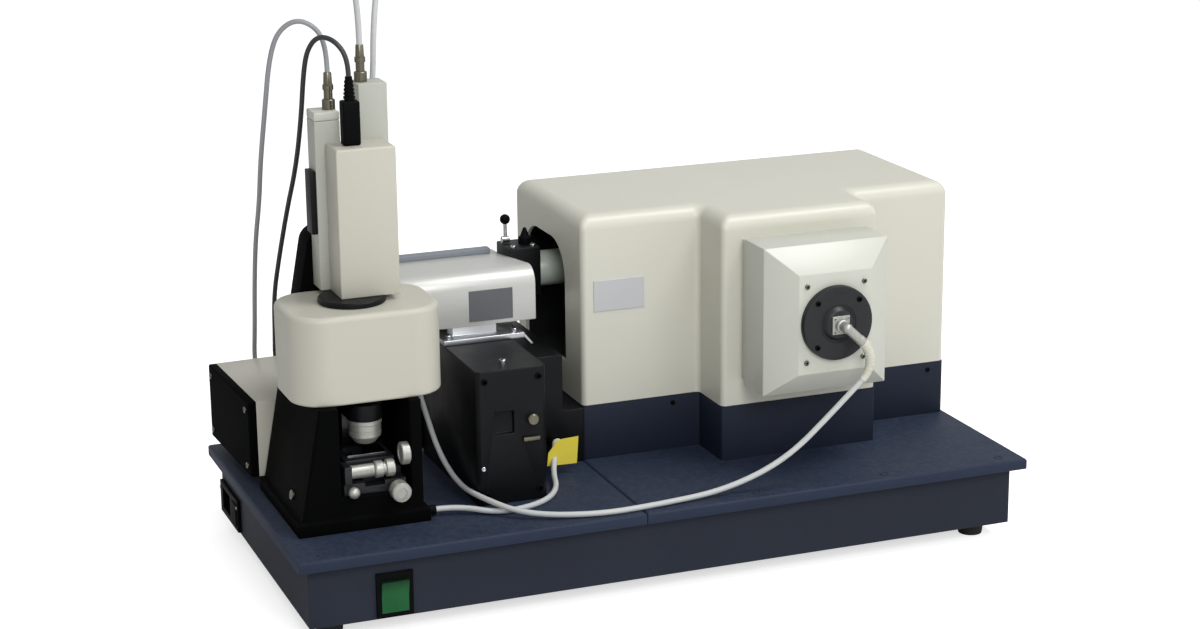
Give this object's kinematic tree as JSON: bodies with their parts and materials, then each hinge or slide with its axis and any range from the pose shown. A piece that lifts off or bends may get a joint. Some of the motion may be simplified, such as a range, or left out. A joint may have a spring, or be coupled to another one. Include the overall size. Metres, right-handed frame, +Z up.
{
  "type": "portable raman spectrometer",
  "caption": "Portable fibre-coupled Raman spectrometer with spectrograph, laser head and small microscope stand on one low instrument base.",
  "frame": {"origin": "on the standing surface, under the middle of the top plates", "axes": "+X along the base towards the spectrograph, +Y from the front to the back, +Z up"},
  "size_m": [0.54, 0.2809, 0.4696],
  "materials": {
    "plate_paint": "fine matt texture",
    "base_paint": "fine matt texture",
    "cream_paint": "satin",
    "port_paint": "satin",
    "black_cast": "satin enamel",
    "black_anodised": "black anodised",
    "silver": "satin",
    "head_silver": "satin silver",
    "steel": "brushed",
    "grey_paint": "satin",
    "rubber": "matt",
    "black_plastic": "matt",
    "green_rocker": "gloss, lit",
    "circuit": "matt",
    "mirror_glass": "coated",
    "white_jacket": "satin",
    "grey_jacket": "satin",
    "black_jacket": "satin"
  },
  "bodies": {
    "instrument": {"left_top_plate": "plate_paint", "right_top_plate": "plate_paint", "base_chassis": "base_paint", "bottom_cover": "base_paint", "rubber_feet": "rubber", "rocker_bezel": "black_plastic", "mains_inlet": "black_plastic", "base_electronics": "circuit", "spectrograph_skirt": "base_paint", "spectrograph_cover": "cream_paint", "entrance_liner": "black_anodised", "optics_bench": "black_anodised", "spectrograph_mirrors": "mirror_glass", "detector_head": "black_anodised", "port_housing": "port_paint", "port_flange": "black_anodised", "port_connector": "steel", "port_boot": "white_jacket", "stand_casting": "black_cast", "head_housing": "cream_paint", "stage_base": "silver", "focus_rail": "steel", "head_collar": "black_anodised", "tower_block": "cream_paint", "left_module": "cream_paint", "right_module": "cream_paint", "left_connector": "steel", "right_connector": "steel", "tower_plug": "black_plastic", "module_rail": "black_anodised", "laser_block": "black_anodised", "bridge_block": "black_anodised", "laser_front_fittings": "steel", "laser_mount_plate": "silver", "laser_head": "head_silver", "laser_head_rail": "grey_paint", "shutter_block": "silver", "beam_tube": "black_anodised", "fibre_sockets": "black_plastic", "laser_boot": "white_jacket", "control_box_case": "cream_paint", "control_box_end_panel": "black_plastic", "cable_glands": "black_plastic", "collection_fibre": "white_jacket", "laser_fibre": "white_jacket", "module_cable": "grey_jacket", "tower_cable": "black_jacket"},
    "rocker": {"power_rocker": "green_rocker"},
    "y_carriage": {"stage_y_carriage": "silver", "x_micrometer_sleeve": "steel"},
    "x_carriage": {"stage_x_carriage": "silver"},
    "x_thimble": {"x_micrometer_thimble": "steel"},
    "y_thimble": {"y_micrometer_thimble": "steel"},
    "focus_carriage": {"nosepiece": "black_anodised", "objective": "steel"},
    "focus_wheel": {"focus_knob": "steel"},
    "lock": {"stage_lock_screw": "steel"},
    "turret": {"grating_turret": "steel"},
    "lever": {"shutter_lever": "steel"},
    "adjuster": {"shutter_adjuster": "black_plastic"}
  },
  "joints": [
    {"name": "power_rocker", "type": "hinge", "parent": "instrument", "child": "rocker", "pos_m": [-0.2035, -0.116, 0.0286], "axis": [1, 0, 0], "range_deg": [-14, 0]},
    {"name": "stage_y", "type": "slide", "parent": "instrument", "child": "y_carriage", "axis": [0, 1, 0], "range_m": [-0.0025, 0.0025]},
    {"name": "stage_x", "type": "slide", "parent": "y_carriage", "child": "x_carriage", "axis": [1, 0, 0], "range_m": [-0.0025, 0.0025]},
    {"name": "x_micrometer", "type": "hinge", "parent": "y_carriage", "child": "x_thimble", "pos_m": [-0.195, -0.079, 0.1018], "axis": [1, 0, 0], "range_deg": [-1800, 1800]},
    {"name": "y_micrometer", "type": "hinge", "parent": "instrument", "child": "y_thimble", "pos_m": [-0.1885, -0.09, 0.089], "axis": [0, 1, 0], "range_deg": [-1800, 1800]},
    {"name": "focus_slide", "type": "slide", "parent": "instrument", "child": "focus_carriage", "axis": [0, 0, 1], "range_m": [-0.006, 0.003]},
    {"name": "focus_knob", "type": "hinge", "parent": "instrument", "child": "focus_wheel", "pos_m": [-0.181, -0.08, 0.111], "axis": [1, 0, 0], "range_deg": [-216, 108]},
    {"name": "stage_lock", "type": "hinge", "parent": "instrument", "child": "lock", "pos_m": [-0.219, -0.0875, 0.09], "axis": [0, 1, 0], "range_deg": [-45, 45]},
    {"name": "grating_turret", "type": "hinge", "parent": "instrument", "child": "turret", "pos_m": [0.095, 0.04, 0.16], "axis": [0, 0, 1], "range_deg": [-120, 120]},
    {"name": "shutter_lever", "type": "hinge", "parent": "instrument", "child": "lever", "pos_m": [-0.053, 0.076, 0.2108], "axis": [1, 0, 0], "range_deg": [-25, 25]},
    {"name": "shutter_adjuster", "type": "hinge", "parent": "instrument", "child": "adjuster", "pos_m": [-0.04, 0.07, 0.214], "axis": [0, 0, 1], "range_deg": [-90, 90]}
  ],
  "couplings": [
    {"joint": "x_micrometer", "follows": "stage_x", "rad_per_m": 12566},
    {"joint": "y_micrometer", "follows": "stage_y", "rad_per_m": 12566},
    {"joint": "focus_knob", "follows": "focus_slide", "rad_per_m": 628.32}
  ]
}
